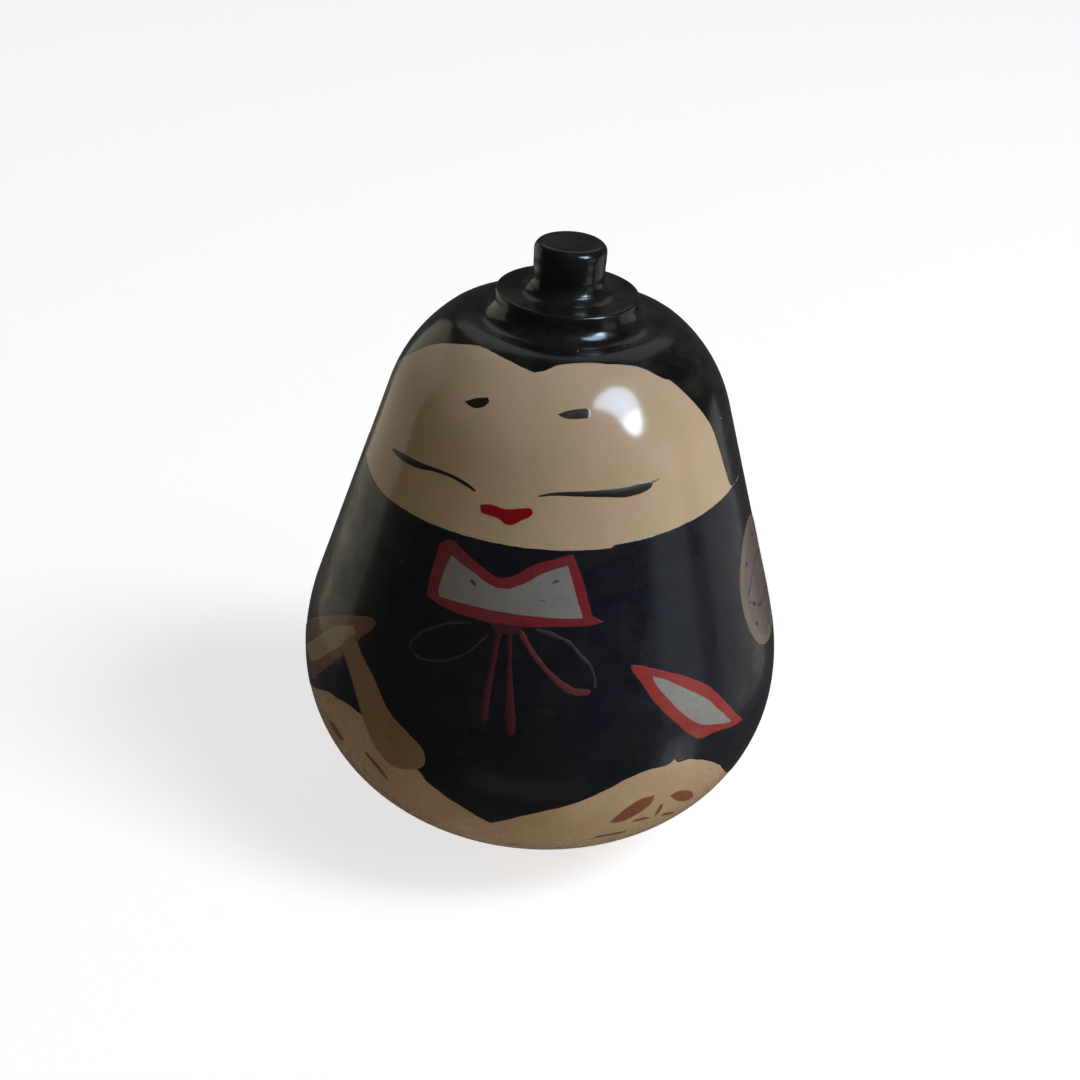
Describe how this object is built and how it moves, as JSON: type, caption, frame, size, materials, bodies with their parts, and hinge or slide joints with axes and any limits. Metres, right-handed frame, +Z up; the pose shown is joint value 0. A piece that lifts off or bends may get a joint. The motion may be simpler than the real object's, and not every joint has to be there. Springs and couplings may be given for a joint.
{
  "type": "daruma doll",
  "caption": "Self-righting turned wooden daruma doll, painted as a kimono woman with a black topknot and a red-edged bow.",
  "frame": {"origin": "middle of the small flat foot under the doll", "axes": "+Z up along the axis of turning, through the topknot; -Y towards the face; +X towards the doll's own left"},
  "size_m": [0.06, 0.06, 0.0772],
  "materials": {
    "bare_wood": "satin",
    "base_wood": "satin",
    "ballast_iron": "matt",
    "fastener_steel": "satin",
    "black_lacquer": "gloss",
    "face_enamel": "gloss",
    "navy_enamel": "gloss",
    "cream_enamel": "gloss",
    "ink": "gloss",
    "red_enamel": "gloss",
    "white_enamel": "gloss",
    "dull_red_enamel": "gloss",
    "ball_enamel": "gloss",
    "rust_enamel": "gloss"
  },
  "bodies": {
    "root": {"body_shell": "bare_wood", "base_cap": "base_wood", "ballast_weight": "ballast_iron", "ballast_washer": "fastener_steel", "ballast_screw": "fastener_steel", "bun_ring": "black_lacquer", "topknot": "black_lacquer", "hair_paint": "black_lacquer", "face_paint": "face_enamel", "kimono_paint": "navy_enamel", "hem_paint": "cream_enamel", "eyebrows": "ink", "eyes": "ink", "lips": "red_enamel", "bow_white": "white_enamel", "bow_outline": "red_enamel", "bow_cords": "red_enamel", "bow_loops": "dull_red_enamel", "left_cuff_white": "white_enamel", "left_cuff_outline": "red_enamel", "right_cuff_white": "white_enamel", "right_cuff_outline": "red_enamel", "paddle": "cream_enamel", "ball_fill": "ball_enamel", "ball_outline": "cream_enamel", "flower_petals": "rust_enamel", "flower_stamens": "rust_enamel"}
  },
  "joints": []
}
